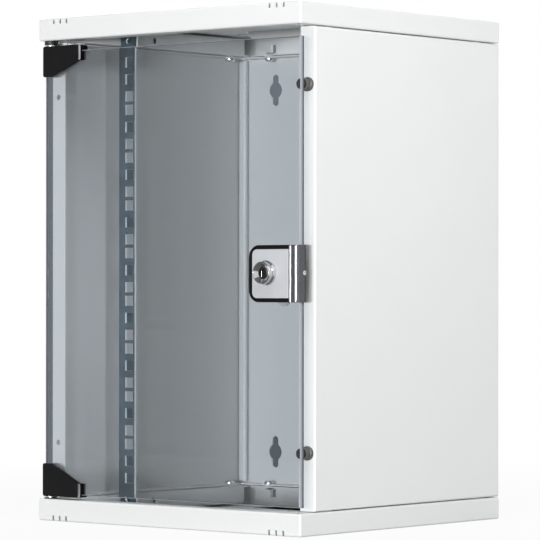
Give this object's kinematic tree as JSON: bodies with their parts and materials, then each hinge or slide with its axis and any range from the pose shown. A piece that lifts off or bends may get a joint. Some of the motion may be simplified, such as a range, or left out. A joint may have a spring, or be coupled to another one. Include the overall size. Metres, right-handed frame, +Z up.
{
  "type": "rack cabinet",
  "caption": "Small wall-hung ten-inch rack cabinet of folded sheet steel with square-hole rails and a hinged, lockable tinted glass door.",
  "frame": {"origin": "centre of the bottom cover's underside", "axes": "+Z up along the height, +Y to the back towards the wall, +X to the right seen from the front"},
  "size_m": [0.312, 0.3, 0.46],
  "materials": {
    "grey_paint": "light grey powder coat, fine texture, satin",
    "zinc_plate": "zinc plated, blue passivated",
    "bright_steel": "zinc plated, bright",
    "black_coat": "black coat, satin",
    "black_rubber": "matt",
    "black_plastic": "moulded",
    "chrome": "polished",
    "satin_plate": "satin",
    "tinted_glass": "grey tint, polished edges"
  },
  "bodies": {
    "cabinet": {"bottom_cover": "grey_paint", "top_cover": "grey_paint", "left_side_panel": "grey_paint", "right_side_panel": "grey_paint", "back_panel": "grey_paint", "cable_entry_plate": "grey_paint", "left_rail": "zinc_plate", "right_rail": "zinc_plate", "rail_bracket_bottom_left": "grey_paint", "rail_bracket_bottom_right": "grey_paint", "rail_bracket_top_left": "grey_paint", "rail_bracket_top_right": "grey_paint", "rail_screws": "bright_steel", "rail_nuts": "bright_steel", "cover_screws": "bright_steel", "cover_nuts": "bright_steel", "cable_plate_screws": "bright_steel", "upper_bumper": "black_rubber", "lower_bumper": "black_rubber", "upper_pivot_bush": "black_plastic", "lower_pivot_bush": "black_plastic"},
    "door": {"door_glass": "tinted_glass", "upper_hinge_clamp": "black_coat", "lower_hinge_clamp": "black_coat", "upper_hinge_pads": "black_rubber", "lower_hinge_pads": "black_rubber", "hinge_set_screws": "bright_steel", "upper_hinge_pin": "bright_steel", "lower_hinge_pin": "bright_steel", "upper_hinge_washer": "bright_steel", "lower_hinge_washer": "bright_steel", "lock_housing": "black_coat", "lock_face_plate": "satin_plate", "lock_trim_strips": "chrome", "lock_housing_screw": "bright_steel", "lock_barrel": "chrome", "lock_sleeve": "black_plastic", "lock_nut": "bright_steel"},
    "lock_core": {"lock_plug": "chrome", "lock_cam": "zinc_plate", "cam_screw": "bright_steel"}
  },
  "joints": [
    {"name": "door_hinge", "type": "hinge", "parent": "cabinet", "child": "door", "pos_m": [-0.147, -0.1375, 0.23], "axis": [0, 0, -1], "range_deg": [0, 180]},
    {"name": "lock_turn", "type": "hinge", "parent": "door", "child": "lock_core", "pos_m": [0.1195, -0.1375, 0.2264], "axis": [0, -1, 0], "range_deg": [0, 90]}
  ]
}
